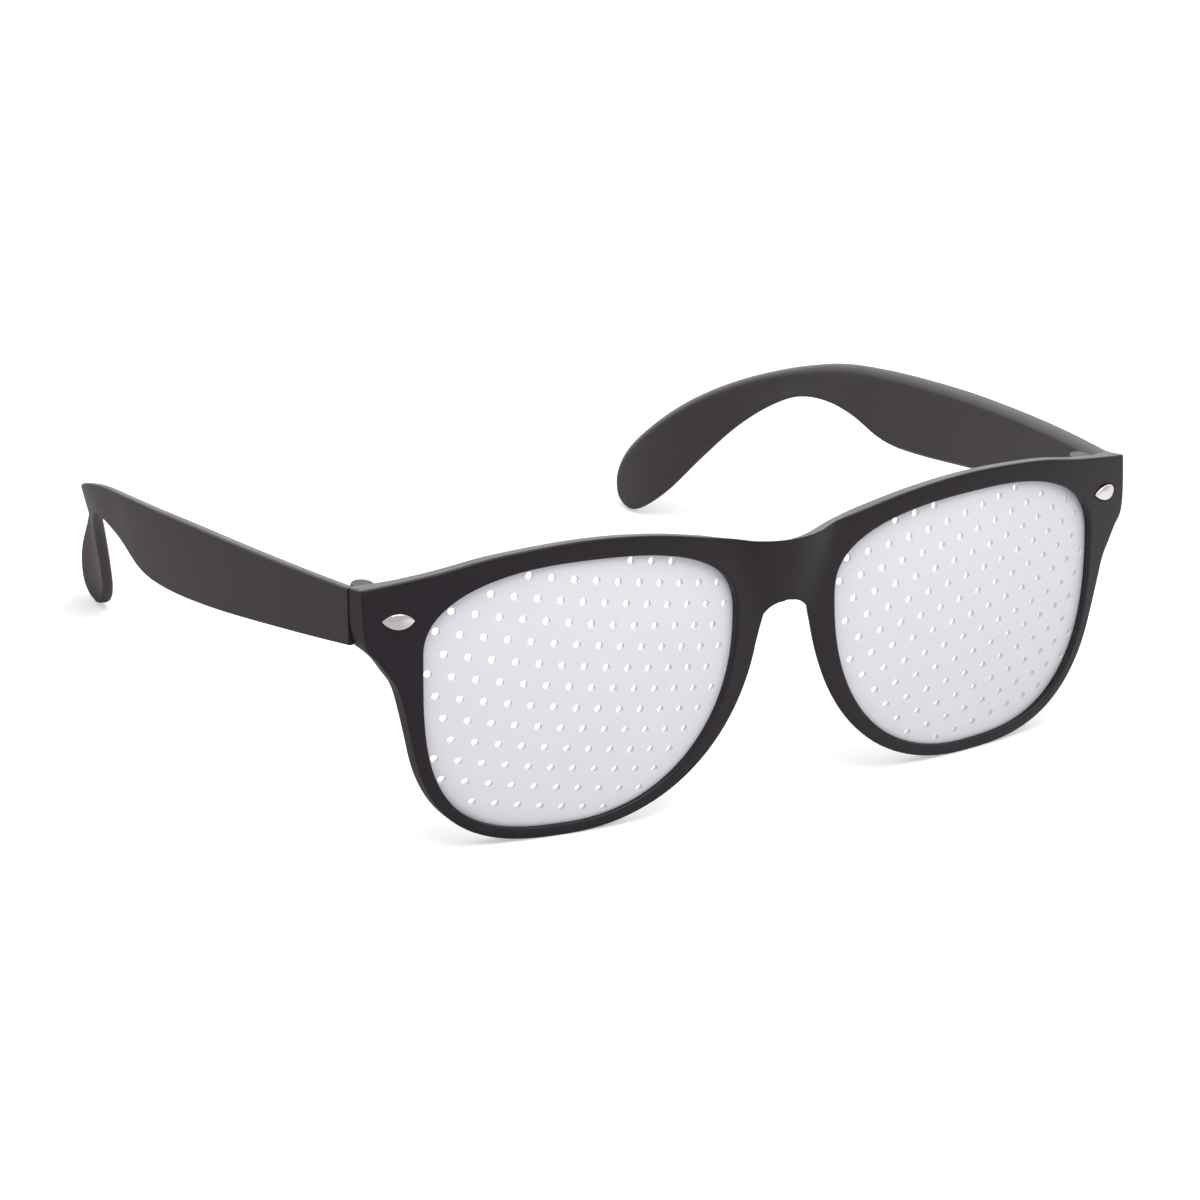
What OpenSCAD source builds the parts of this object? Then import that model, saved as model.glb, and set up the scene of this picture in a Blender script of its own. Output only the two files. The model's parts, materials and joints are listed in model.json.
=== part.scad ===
// Party glasses with perforated white lens sheets and folding side arms.
// Left and right are the wearer's. The wearer looks along -Y, so left is +X.
// The glasses stand open on a flat surface, on the rims and the two arm ends.

/* [Front] */
// Width of the front over both end pieces
front_w = 145; // [140:0.5:150]
// Height of the upper edge above the level of the lens curve's middle
brow_h = 29.5; // [29:0.1:31]
// Rim width under the lens
rim_bottom = 1.9; // [1.6:0.1:2.6]
// Rim width beside the lens, below the end piece
rim_side = 2.4; // [2:0.1:3]
// Rim width beside the nose, at the bridge
rim_nose = 4.9; // [4.4:0.1:5.4]
// Depth of the front lip before the lens
lip_depth = 1.0; // [0.8:0.1:1.4]
// Depth of the rear lip behind the lens
rear_lip = 0.8; // [0.6:0.1:1.2]
// Radius of the curved front face
face_r = 150; // [135:1:170]
// Radius of the curved rear face
rear_r = 130; // [120:1:145]
// Slope of the brow's upper edge, downwards to the rear, in degrees
brow_slope = 13; // [6:0.5:16]
// Height of an end piece
end_h = 9.8; // [9:0.1:11]
// Width of the thick block behind each end piece
end_block_w = 5.2; // [4.8:0.1:6]

/* [Lens openings] */
// Width of each lens opening
lens_w = 54.1; // [52:0.1:55]
// Height of each lens opening
lens_h = 43.0; // [41:0.1:44]
// Gap between the two lens openings
lens_gap = 18.7; // [18:0.1:21]
// Radius of the lens curve
lens_r = 100; // [92:1:110]
// Outward turn of each lens, in degrees
lens_wrap = 4.9; // [3:0.1:7]
// Upward tilt of each lens, in degrees
lens_tilt = 2.9; // [2:0.1:4]

/* [Lens sheets] */
// Thickness of the white sheet
sheet_t = 0.8; // [0.6:0.1:1]
// Depth of the groove round the opening
groove_d = 0.9; // [0.6:0.1:1.1]
// Diameter of the pinholes
hole_d = 1.2; // [0.8:0.1:1.6]
// Distance from one pinhole to the next
hole_pitch = 3.9; // [3.4:0.1:6]
// Turn of the rows of pinholes, in degrees
hole_turn = 9.9; // [0:0.1:15]
// Least distance from the opening's edge to a pinhole's middle
hole_edge = 0.8; // [0.7:0.1:1.6]

/* [Bridge] */
// Radius of the rounded bridge face
bridge_r = 17; // [14:0.5:22]
// Backward slope of the bridge face towards the nose, in degrees
bridge_slope = 2.6; // [1:0.1:4]
// Slope of the bridge's upper edge, downwards to the rear, in degrees
bridge_top_slope = 27; // [14:0.5:30]
// Height of the bridge in the middle
bridge_h = 10.7; // [9:0.1:11.5]
// Half width of the arch over the nose
arch_half_w = 4.0; // [3.5:0.1:4.5]
// Rise of the arch over the nose
arch_rise = 1.8; // [1.2:0.1:2.2]
// Slope of the rims' nose sides, outwards to the rear, in degrees
nose_slope = 28; // [15:1:32]
// Radius of the saddle behind the bridge
saddle_r = 14; // [12:0.5:18]

/* [Hinges] */
// Radius of the hinge barrels
barrel_r = 1.8; // [1.6:0.1:2]
// Radius of the hinge pin
pin_r = 0.7; // [0.5:0.05:0.8]
// Height of one hinge barrel
barrel_h = 2.2; // [1.8:0.1:2.4]
// Distance of the hinge axis from the outer face of the arm
hinge_inset = 4.0; // [3.8:0.1:4.4]
// Distance of the hinge axis behind the end piece
hinge_back = 2.7; // [2.5:0.1:3.2]

/* [Side arms] */
// Length of an arm along its curve
arm_l = 118.6; // [112:0.2:126]
// Height of an arm at the hinge
arm_front_h = 10.0; // [8.8:0.1:10.4]
// Greatest height of an arm, before the ear
arm_blade_h = 13.4; // [12.4:0.1:14.4]
// Height of an arm at the narrow neck over the ear
arm_neck_h = 7.4; // [6.6:0.1:8.4]
// Width of the rounded paddle behind the ear
arm_paddle_w = 11.4; // [10:0.1:12.6]
// Thickness of an arm at the hinge
arm_front_t = 2.6; // [2.4:0.1:3]
// Thickness of the plump paddle
arm_tip_t = 5.6; // [3:0.1:6.4]
// Outward splay of an arm at the hinge, in degrees
arm_splay = 2.7; // [1:0.1:4]
// Inward turn of the arm's end, in degrees
arm_curl = 40.4; // [32:0.2:44]
// Twist of the paddle, lower edge towards the head, in degrees
arm_twist = 14; // [0:0.5:18]
// Radius of the arm's lower edges
arm_edge_r = 0.8; // [0.5:0.05:1.1]
// Height of the rounding on the arm's upper edge towards the head
arm_round_h = 1.4; // [0.8:0.1:1.8]

/* [Rivet plates] */
// Length of a plate
plate_l = 5.3; // [4.8:0.1:6]
// Height of a plate
plate_h = 2.5; // [2.3:0.1:3]
// Height of the dome over the plate's edge
plate_dome = 0.7; // [0.4:0.05:0.8]
// Depth of the recess that the plate sits in
recess_d = 0.4; // [0.3:0.05:0.6]
// Radius of the two legs behind the plate
leg_r = 0.45; // [0.35:0.05:0.55]
// Length of the two legs
leg_l = 2.0; // [1.4:0.1:2.4]

/* [Fits] */
// Gap round a lens sheet in its groove
sheet_gap = 0.05; // [0.03:0.01:0.1]
// Radial gap between a hinge pin and the arm's barrel
pin_gap = 0.05; // [0.02:0.01:0.1]
// Gap between one hinge barrel and the next
barrel_gap = 0.2; // [0.15:0.05:0.4]
// Gap between a front barrel and the arm round it
barrel_room = 0.3; // [0.2:0.05:0.5]
// Gap between an arm's end and its end piece
seam_gap = 0.2; // [0.15:0.05:0.4]
// Gap round a rivet plate in its recess
plate_gap = 0.25; // [0.15:0.05:0.35]

/* [Hidden] */

black_front = "#2b272d";
black_arm = "#3a3638";
sheet_white = "#e9e7ee";
steel = "#c9cacc";

sphere_fn = 240;
round_fn = 48;
through = 60;

// Lens opening: four quarters of a superellipse round one middle point
open_mid = [lens_gap / 2 + 29.2, 13.9];
open_side = lens_w - 29.2;
open_nose = 29.2;
open_up = 12.4;
open_down = lens_h - open_up;
power_up_side = 2.2;
power_up_nose = 2.45;
power_down_nose = 2.2;
power_down_side = 3.05;
open_steps = 72;

// Middle of the opening and the centres of the two curved faces
lens_mid = [
    open_mid[0] + (open_side - open_nose) / 2,
    -1.7,
    open_mid[1] + (open_up - open_down) / 2
];
lens_axis = [
    sin(lens_wrap) * cos(lens_tilt),
    -cos(lens_wrap) * cos(lens_tilt),
    sin(lens_tilt)
];
mean_reach = (lens_w + lens_h) / 4;
face_lead = lip_depth - mean_reach * mean_reach / 2 * (1 / lens_r - 1 / face_r);
lens_ball = lens_mid - lens_r * lens_axis;
face_ball = lens_mid - (face_r - face_lead) * lens_axis;
rear_depth = sheet_t + rear_lip
    + mean_reach * mean_reach / 2 * (1 / (lens_r - sheet_t) - 1 / rear_r);
rear_ball = lens_mid - (rear_r + rear_depth) * lens_axis;

// End pieces and hinges
end_x = front_w / 2;
end_top = 24.6;
end_low = end_top - end_h;
end_back = 12.0;
hinge_x = end_x - hinge_inset;
hinge_y = end_back + hinge_back;
hinge_low = end_top - 8.9;
hinge_pitch = barrel_h + barrel_gap;
pin_l = 2 * hinge_pitch + barrel_h - 0.7;

// Bridge
bridge_top = 25.1;
arch_top = bridge_top - bridge_h;
arch_foot = arch_top - arch_rise;
bridge_front = -1.35;
bridge_mid_z = 20;
saddle_y = 2.6 + saddle_r;

function sgn_pow(v, p) = sign(v) * pow(abs(v), p);

// Point of the opening's outline at an angle round its middle
function open_pt(a) =
    let(
        side = cos(a) >= 0,
        up = sin(a) >= 0,
        power = up ? (side ? power_up_side : power_up_nose)
                   : (side ? power_down_side : power_down_nose),
        rx = side ? open_side : open_nose,
        rz = up ? open_up : open_down
    )
    open_mid + [rx * sgn_pow(cos(a), 2 / power), rz * sgn_pow(sin(a), 2 / power)];

// The same point moved outwards, square to the outline
function open_out(a, d) =
    let(
        t = open_pt(a + 0.5) - open_pt(a - 0.5),
        n = [t[1], -t[0]] / norm(t)
    )
    open_pt(a) + d * n;

function open_outline(d) =
    [for (i = [0:open_steps - 1]) open_out((i + 0.5) * 360 / open_steps, d)];

// Rim width at a height beside the nose and beside the end piece
function rim_w_nose(z) =
    let(foot = open_mid[1] - open_down)
    rim_bottom + (rim_nose - rim_bottom) * (z - foot) / (arch_foot - foot);
function rim_w_side(z) =
    let(foot = open_mid[1] - open_down)
    rim_bottom + (rim_side - rim_bottom) * (z - foot) / (end_low - foot);

function rim_pt(a) =
    open_out(a, cos(a) < 0 ? rim_w_nose(open_pt(a)[1]) : rim_w_side(open_pt(a)[1]));

// Smooth curve through a list of points, with a number of steps between each two
function through_pts(p, steps) =
    let(n = len(p))
    [
        for (i = [0:n - 2])
            for (k = [0:steps - 1])
                let(
                    t = k / steps,
                    a = p[max(i - 1, 0)],
                    b = p[i],
                    c = p[i + 1],
                    d = p[min(i + 2, n - 1)]
                )
                0.5 * (2 * b + (c - a) * t + (2 * a - 5 * b + 4 * c - d) * t * t
                    + (3 * b - a - 3 * c + d) * t * t * t),
        p[n - 1]
    ];

// Right half of the front's outline, from the top of the bridge round to the arch
brow_pts = [
    [0, bridge_top],
    [5, bridge_top + 0.1],
    [open_mid[0] - 29, brow_h - 3.8],
    [open_mid[0] - 15, brow_h - 1.0],
    [open_mid[0] - 2, brow_h],
    [open_mid[0] + 12, brow_h - 0.9],
    [end_x - 11, end_top + 1.9],
    [end_x - 0.3, end_top]
];
flare_pts = [
    [end_x, end_top - 0.4],
    [end_x - 0.1, end_low + 4.5],
    [end_x - 0.35, end_low + 1.7],
    [end_x - 0.9, end_low - 0.1],
    [end_x - 2.3, end_low - 1.6],
    [end_x - 3.8, end_low - 3.8],
    [end_x - 5.2, end_low - 6.0],
    [end_x - 6.2, end_low - 9.3],
    rim_pt(-22)
];
arch_pts = [
    rim_pt(-172),
    [arch_half_w, arch_foot],
    [arch_half_w * 0.75, arch_foot + arch_rise * 0.5],
    [arch_half_w * 0.5, arch_foot + arch_rise * 0.78],
    [arch_half_w * 0.25, arch_foot + arch_rise * 0.95],
    [0, arch_top]
];
half_outline = concat(
    through_pts(brow_pts, 5),
    through_pts(flare_pts, 3),
    [for (a = [-27:-5:-167]) rim_pt(a)],
    through_pts(arch_pts, 3)
);
front_outline = concat(
    half_outline,
    [for (i = [len(half_outline) - 2:-1:1]) [-half_outline[i][0], half_outline[i][1]]]
);

// Side arm: upper and lower edge in the flat pattern, length along the arm and height
arm_top = end_top - 0.6;
neck_at = 0.655 * arm_l;
edge_up = [
    [0, arm_top],
    [0.17 * arm_l, arm_top - 2.3],
    [0.34 * arm_l, arm_top - 5.3],
    [0.47 * arm_l, arm_top - 7.7],
    [0.55 * arm_l, arm_top - 9.3],
    [0.625 * arm_l, arm_top - 11.2],
    [0.69 * arm_l, arm_top - 13.6],
    [0.76 * arm_l, arm_top - 17.0],
    [0.83 * arm_l, arm_top - 21.2],
    [0.895 * arm_l, arm_top - 26.6],
    [0.95 * arm_l, arm_top - 32.5],
    [0.987 * arm_l, arm_top - 38.2],
    [arm_l, arm_top - 43.0],
    [0.988 * arm_l, arm_top - 47.0],
    [0.969 * arm_l, arm_top - 48.6]
];
edge_low = [
    [0, arm_top - arm_front_h],
    [0.16 * arm_l, arm_top - 1.7 - 0.9 * arm_blade_h],
    [0.32 * arm_l, arm_top - 4.7 - arm_blade_h],
    [0.44 * arm_l, arm_top - 7.2 - arm_blade_h],
    [0.515 * arm_l, arm_top - 8.2 - arm_blade_h],
    [0.585 * arm_l, arm_top - 6.6 - arm_blade_h],
    [0.645 * arm_l, arm_top - 11.6 - arm_neck_h],
    [0.70 * arm_l, arm_top - 12.5 - arm_neck_h],
    [0.75 * arm_l, arm_top - 15.7 - arm_neck_h],
    [0.80 * arm_l, arm_top - 17.0 - arm_paddle_w],
    [0.85 * arm_l, arm_top - 23.4 - arm_paddle_w],
    [0.895 * arm_l, arm_top - 30.0 - arm_paddle_w],
    [0.93 * arm_l, arm_top - 34.8 - arm_paddle_w],
    [0.952 * arm_l, arm_top - 37.2 - arm_paddle_w],
    [0.96 * arm_l, arm_top - 37.4 - arm_paddle_w]
];
arm_steps = 3;
arm_up = through_pts(edge_up, arm_steps);
arm_low = through_pts(edge_low, arm_steps);

// Plan of the arm: its turn inwards grows smoothly from the blade to the end
curl_from = 0.27 * arm_l;
curl_to = 1.33 * arm_l;
curl_done = pow((arm_l - curl_from) / (curl_to - curl_from), 2)
    * (3 - 2 * (arm_l - curl_from) / (curl_to - curl_from));
function arm_turn(s) =
    let(t = min(max((s - curl_from) / (curl_to - curl_from), 0), 1))
    arm_curl / curl_done * t * t * (3 - 2 * t) - arm_splay;

plan_step = arm_l / 60;
arm_plan = [
    for (i = 0, x = end_x - arm_front_t / 2, y = end_back + seam_gap;
         i <= 61;
         x = x - plan_step * sin(arm_turn((i + 0.5) * plan_step)),
         y = y + plan_step * cos(arm_turn((i + 0.5) * plan_step)),
         i = i + 1)
        [x, y]
];
function arm_mid(s) =
    let(
        f = min(max(s / plan_step, 0), 60.99),
        i = floor(f)
    )
    arm_plan[i] + (f - i) * (arm_plan[i + 1] - arm_plan[i]);

// Point beside the middle surface of the arm, d is towards the head
function arm_pt(s, z, d) =
    let(
        m = arm_mid(s),
        a = arm_turn(s)
    )
    [m[0] - d * cos(a), m[1] - d * sin(a), z];

// Swelling from the flat blade to the plump paddle, and its end
function swell(s) =
    let(t = min(max((s / arm_l - 0.9) / 0.065, 0), 1))
    t * t * (3 - 2 * t);

// Section of the arm, as height above and distance behind its own middle.
// Each corner has a radius in height and one in thickness: on the blade the upper
// corner towards the head is broad, and the outer one is nearly sharp.
section_n = 4;
function arm_section(h, t, plump) =
    let(
        r_blade = min(arm_edge_r, 0.45 * t, 0.45 * h),
        r_plump = min(0.45 * t, 0.45 * h),
        r = r_blade + (r_plump - r_blade) * plump,
        sharp = r_blade / 2 + (r_plump - r_blade / 2) * plump,
        round_h = min(arm_round_h + (r_plump - arm_round_h) * plump, 0.45 * h),
        corners = [
            [1, 1, round_h, t - 1.4 * sharp],
            [-1, 1, r, r],
            [-1, -1, r, r],
            [1, -1, sharp, sharp]
        ]
    )
    [
        for (q = [0:3])
            for (k = [0:section_n - 1])
                let(
                    a = q * 90 + k * 90 / (section_n - 1),
                    c = corners[q]
                )
                [
                    c[0] * (h / 2 - c[2]) + c[2] * cos(a),
                    c[1] * (t / 2 - c[3]) + c[3] * sin(a)
                ]
    ];
arm_rings = [
    for (i = [0:len(arm_up) - 1])
        let(
            up = arm_up[i],
            low = arm_low[i],
            mid = (up + low) / 2,
            h = norm(up - low),
            dir = (up - low) / h,
            share = i / (len(arm_up) - 1),
            tip = max(0, (share - 0.79) / 0.21),
            plump = swell(mid[0]),
            turn = tan(arm_twist) * plump,
            t = (arm_front_t + (arm_tip_t - arm_front_t) * plump) * sqrt(1 - 0.92 * tip * tip)
        )
        [
            for (c = arm_section(h, t, plump))
                arm_pt(mid[0] + c[0] * dir[0], mid[1] + c[0] * dir[1], c[1] - c[0] * turn)
        ]
];

// The glasses stand on the rims and the arm ends: the tilt that puts both on one level
function tilt_z(p, a) = p[1] * sin(a) + p[2] * cos(a);
function lowest(list, a) = min([for (p = list) tilt_z(p, a)]);
function at_lowest(list, a) =
    let(m = lowest(list, a))
    [for (p = list) if (tilt_z(p, a) < m + 0.001) p][0];
function ball_y(ball, r, x, z) =
    ball[1] - sqrt(r * r - pow(x - ball[0], 2) - pow(z - ball[2], 2));
rim_feet = [
    for (a = [-110:1:-70])
        for (back = [0, 1])
            let(p = rim_pt(a))
            [p[0], back == 1 ? ball_y(rear_ball, rear_r, p[0], p[1])
                             : ball_y(face_ball, face_r, p[0], p[1]), p[1]]
];
arm_feet = [for (ring = arm_rings) for (p = ring) if (p[2] < arm_top - 44) p];
function level(a, n) =
    n == 0 ? a :
    let(
        r = at_lowest(rim_feet, a),
        t = at_lowest(arm_feet, a)
    )
    level(atan((r[2] - t[2]) / (t[1] - r[1])), n - 1);
stand_tilt = level(3, 4);
stand_lift = -lowest(arm_feet, stand_tilt);
function tilt_y(p) = p[1] * cos(stand_tilt) - p[2] * sin(stand_tilt);
far_y = max([for (ring = arm_rings) for (p = ring) tilt_y(p)]);
near_y = min([
    for (z = [bridge_top, open_mid[1], brow_h, lens_mid[2], lens_mid[2] - 10])
        for (x = [lens_mid[0] - 6, lens_mid[0]])
            tilt_y([x, ball_y(face_ball, face_r, x, z), z])
]);
stand_y = -(near_y + far_y) / 2;

module standing() {
    translate([0, stand_y, stand_lift])
        rotate([stand_tilt, 0, 0])
            children();
}

module both_sides() {
    children();
    mirror([1, 0, 0]) children();
}

// Prism from a front-view outline, right through the front
module front_prism(outline) {
    translate([0, through, 0])
        rotate([90, 0, 0])
            linear_extrude(height = 2 * through)
                polygon(outline);
}

module ball(centre, r) {
    translate(centre) sphere(r = r, $fn = sphere_fn);
}

module lens_shell(gap) {
    difference() {
        ball(lens_ball, lens_r + gap);
        ball(lens_ball, lens_r - sheet_t - gap);
    }
}

// The front face: two large balls, one for each side, that meet in the middle
module face_balls() {
    both_sides() ball(face_ball, face_r);
}

module rim_plate() {
    difference() {
        intersection() {
            front_prism(front_outline);
            face_balls();
            translate([-end_x - 1, -through, -through])
                cube([2 * end_x + 2, through + end_back, 2 * through]);
        }
        both_sides() ball(rear_ball, rear_r);
    }
}

// Prism under the brow line that slopes downwards to the rear. Beside the bridge its
// upper line can rise above the brow, so that it only cuts the bridge.
brow_half = through_pts(brow_pts, 5);
function front_y(x, z) =
    let(
        bridge_y = bridge_front + bridge_r - (z - bridge_mid_z) * tan(bridge_slope)
    )
    min(ball_y(face_ball, face_r, x, z),
        x < bridge_r ? bridge_y - sqrt(bridge_r * bridge_r - x * x) : 2 * through);
function brow_line(slope, free_x, free_rise) =
    [
        for (p = brow_half)
            [p[0], (p[1] + front_y(p[0], p[1]) * tan(slope)
                + max(0, p[0] - free_x) * free_rise) * cos(slope)]
    ];
module under_brow(slope, free_x, free_rise) {
    line = brow_line(slope, free_x, free_rise);
    n = len(line);
    edge = line[n - 1] + [3, (line[n - 1] - line[n - 2])[1] * 3];
    rotate([-slope, 0, 0])
        front_prism(concat(
            line,
            [edge, [edge[0], -through], [-edge[0], -through], [-edge[0], edge[1]]],
            [for (i = [n - 1:-1:1]) [-line[i][0], line[i][1]]]
        ));
}

// Gap for the nose that widens to the rear
nose_edge = concat(
    [for (a = [-100:-4:-168]) rim_pt(a)],
    through_pts(arch_pts, 3)
);
module nose_gap() {
    rotate([0, 0, -nose_slope])
        front_prism(concat(
            [
                for (p = nose_edge)
                    [p[0] * cos(nose_slope) - front_y(p[0], p[1]) * sin(nose_slope), p[1]]
            ],
            [[0, -through], [nose_edge[0][0], -through]]
        ));
}

// Thick block behind the end piece, with a flat rear face for the arm
module end_block() {
    intersection() {
        front_prism(front_outline);
        ball(face_ball, face_r);
        translate([end_x - end_block_w, 0, end_low - 0.8])
            cube([end_block_w + 1, end_back, end_h + 6]);
    }
}

// Rounded bridge that stands proud of the two rims
module bridge() {
    difference() {
        intersection() {
            front_prism([
                for (p = front_outline)
                    if (abs(p[0]) < 9.5 && p[1] > arch_foot - 1)
                        p
            ]);
            translate([0, bridge_front + bridge_r, bridge_mid_z])
                rotate([bridge_slope, 0, 0])
                    cylinder(r = bridge_r, h = 2 * through, center = true, $fn = 2 * round_fn);
        }
        both_sides() ball(rear_ball, rear_r);
    }
}

// Upright barrel at one of three storeys of the hinge, counted from 0
module barrel(storey) {
    translate([hinge_x, hinge_y, hinge_low + storey * hinge_pitch])
        cylinder(r = barrel_r, h = barrel_h, $fn = round_fn);
}

module front_barrels() {
    for (storey = [0, 2]) {
        barrel(storey);
        translate([hinge_x - barrel_r, end_back - 1, hinge_low + storey * hinge_pitch])
            cube([barrel_r + 0.9, hinge_back + 1, barrel_h]);
    }
}

// Plate recess, and the frame of the plate on the curved face
plate_at = [end_x - 5.3, end_top - 4.95];
plate_y = ball_y(face_ball, face_r, plate_at[0], plate_at[1]);
plate_dir = ([plate_at[0], plate_y, plate_at[1]] - face_ball) / face_r;
plate_wrap = atan2(plate_dir[0], -plate_dir[1]);
plate_tilt = asin(plate_dir[2]);
oval_r = (plate_l * plate_l + plate_h * plate_h) / (4 * plate_h);
dome_r = (plate_l * plate_l / 4 + plate_dome * plate_dome) / (2 * plate_dome);

module on_end_face() {
    translate([plate_at[0], plate_y, plate_at[1]])
        rotate([0, 0, plate_wrap])
            rotate([90 - plate_tilt, 0, 0])
                children();
}

// Pointed oval from two arcs
module oval(grow) {
    intersection_for(side = [-1, 1])
        translate([0, side * (oval_r - plate_h / 2)])
            circle(r = oval_r + grow, $fn = 2 * round_fn);
}

module legs(l) {
    for (side = [-1, 1])
        translate([side * plate_l / 4, 0, -recess_d - l])
            cylinder(r = leg_r, h = l + recess_d / 2, $fn = round_fn / 2);
}

module front_frame() {
    color(black_front)
        standing()
            difference() {
                union() {
                    intersection() {
                        union() {
                            rim_plate();
                            bridge();
                            both_sides() end_block();
                        }
                        under_brow(brow_slope, 0, 0);
                        under_brow(bridge_top_slope, 6, 0.25);
                    }
                    both_sides() front_barrels();
                }
                both_sides() nose_gap();
                // saddle behind the bridge
                translate([0, saddle_y, 0])
                    cylinder(r = saddle_r, h = 2 * through, center = true, $fn = 2 * round_fn);
                both_sides() {
                    front_prism(open_outline(0));
                    intersection() {
                        front_prism(open_outline(groove_d + sheet_gap));
                        lens_shell(sheet_gap);
                    }
                    translate([hinge_x, hinge_y, hinge_low - 1])
                        cylinder(r = pin_r, h = pin_l + 1, $fn = round_fn);
                    on_end_face() {
                        translate([0, 0, -recess_d])
                            linear_extrude(height = 3)
                                oval(plate_gap);
                        legs(leg_l);
                    }
                }
            }
}

// Pinholes stand square to the sheet, on a turned grid of equal triangles
hole_first = [-0.2, 1.3];
hole_rows = 9;
row_dir = hole_pitch * [cos(hole_turn), sin(hole_turn)];
diag_dir = hole_pitch * [cos(hole_turn + 60), sin(hole_turn + 60)];

// Where a pinhole meets the sheet, seen from the front
function hole_pt(p) =
    let(
        across = p[0] / lens_r * 180 / PI,
        up = p[1] / lens_r * 180 / PI,
        side = cos(up) * sin(across),
        out = cos(up) * cos(across)
    )
    [lens_ball[0], lens_ball[2]] + lens_r * [
        side * cos(lens_wrap) + (out * cos(lens_tilt) - sin(up) * sin(lens_tilt)) * sin(lens_wrap),
        sin(up) * cos(lens_tilt) + out * sin(lens_tilt)
    ];

// Reach of a point from the middle of the opening: 1 on the outline, less inside
function open_reach(p) =
    let(
        d = p - open_mid,
        side = d[0] >= 0,
        up = d[1] >= 0,
        power = up ? (side ? power_up_side : power_up_nose)
                   : (side ? power_down_side : power_down_nose)
    )
    pow(abs(d[0]) / (side ? open_side : open_nose), power)
    + pow(abs(d[1]) / (up ? open_up : open_down), power);
open_edge = [for (a = [0.5:1:359.5]) open_pt(a)];
function hole_fits(p) =
    open_reach(p) < 1 && min([for (e = open_edge) norm(e - p)]) > hole_edge;

module pinholes() {
    for (i = [-hole_rows:hole_rows])
        for (j = [-hole_rows:hole_rows]) {
            p = hole_first + i * row_dir + j * diag_dir;
            if (hole_fits(hole_pt(p)))
                translate(lens_ball)
                    rotate([0, 0, lens_wrap])
                        rotate([90 - lens_tilt, 0, 0])
                            rotate([0, p[0] / lens_r * 180 / PI, 0])
                                rotate([-p[1] / lens_r * 180 / PI, 0, 0])
                                    translate([0, 0, lens_r - sheet_t - 1])
                                        cylinder(r = hole_d / 2, h = sheet_t + 2, $fn = 16);
        }
}

module lens() {
    difference() {
        intersection() {
            front_prism(open_outline(groove_d));
            translate([0, -through / 2, -through])
                cube([2 * end_x, through, 2 * through]);
            lens_shell(0);
        }
        pinholes();
    }
}

module left_lens() {
    color(sheet_white) standing() lens();
}

module right_lens() {
    color(sheet_white) standing() mirror([1, 0, 0]) lens();
}

// Domed plate with two legs, set in its recess
module rivet_plate() {
    on_end_face() {
        intersection() {
            translate([0, 0, -recess_d])
                linear_extrude(height = recess_d + plate_dome)
                    oval(0);
            translate([0, 0, plate_dome - dome_r])
                sphere(r = dome_r, $fn = 2 * round_fn);
        }
        legs(leg_l);
    }
}

module left_rivet_plate() {
    color(steel) standing() rivet_plate();
}

module right_rivet_plate() {
    color(steel) standing() mirror([1, 0, 0]) rivet_plate();
}

// Steel pin with chamfered ends, pressed into the front's barrels from below
module hinge_pin() {
    chamfer = 0.2;
    translate([hinge_x, hinge_y, hinge_low])
        rotate_extrude($fn = round_fn)
            polygon([
                [0, 0],
                [pin_r - chamfer, 0],
                [pin_r, chamfer],
                [pin_r, pin_l - chamfer],
                [pin_r - chamfer, pin_l],
                [0, pin_l]
            ]);
}

module left_hinge_pin() {
    color(steel) standing() hinge_pin();
}

module right_hinge_pin() {
    color(steel) standing() mirror([1, 0, 0]) hinge_pin();
}

// Arm body: rounded sections carried along the plan curve and closed at both ends
module arm_body() {
    n = 4 * section_n;
    rings = len(arm_rings);
    polyhedron(
        points = [for (ring = arm_rings) for (p = ring) p],
        faces = concat(
            [[for (k = [n - 1:-1:0]) k]],
            [
                for (i = [0:rings - 2])
                    for (k = [0:n - 1])
                        for (half = [0, 1])
                            let(
                                a = i * n + k,
                                b = i * n + (k + 1) % n
                            )
                            half == 0 ? [a, b, a + n] : [b, b + n, a + n]
            ],
            [[for (k = [0:n - 1]) (rings - 1) * n + k]]
        )
    );
}

module temple() {
    clear_r = barrel_r + barrel_room;
    difference() {
        union() {
            arm_body();
            barrel(1);
            translate([hinge_x, hinge_y - 1.3, hinge_low + hinge_pitch])
                cube([hinge_inset - arm_front_t + 0.8, 2.8, barrel_h]);
        }
        // mitred end that lets the arm turn past the end piece
        translate([end_x - 0.6, end_back, end_low - 1])
            rotate([0, 0, 135])
                cube([2 * hinge_inset, hinge_inset, end_h + 3]);
        // room for the front's two barrels
        for (storey = [0, 2])
            translate([hinge_x, hinge_y, hinge_low + storey * hinge_pitch - barrel_gap
                - (storey == 0 ? 5 : 0)])
                cylinder(r = clear_r, h = barrel_h + 2 * barrel_gap + 5, $fn = round_fn);
        translate([hinge_x, hinge_y, hinge_low - 1])
            cylinder(r = pin_r + pin_gap, h = 3 * hinge_pitch + 2, $fn = round_fn);
    }
}

module left_temple() {
    color(black_arm) standing() temple();
}

module right_temple() {
    color(black_arm) standing() mirror([1, 0, 0]) temple();
}

front_frame();
left_lens();
right_lens();
left_rivet_plate();
right_rivet_plate();
left_hinge_pin();
right_hinge_pin();
left_temple();
right_temple();
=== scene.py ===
"""Party glasses: surfaces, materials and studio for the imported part, as an add-on."""

import json
import math

import bmesh
import bpy
from bpy.props import FloatProperty, FloatVectorProperty, IntProperty, PointerProperty
from mathutils import Matrix, Vector


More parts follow.
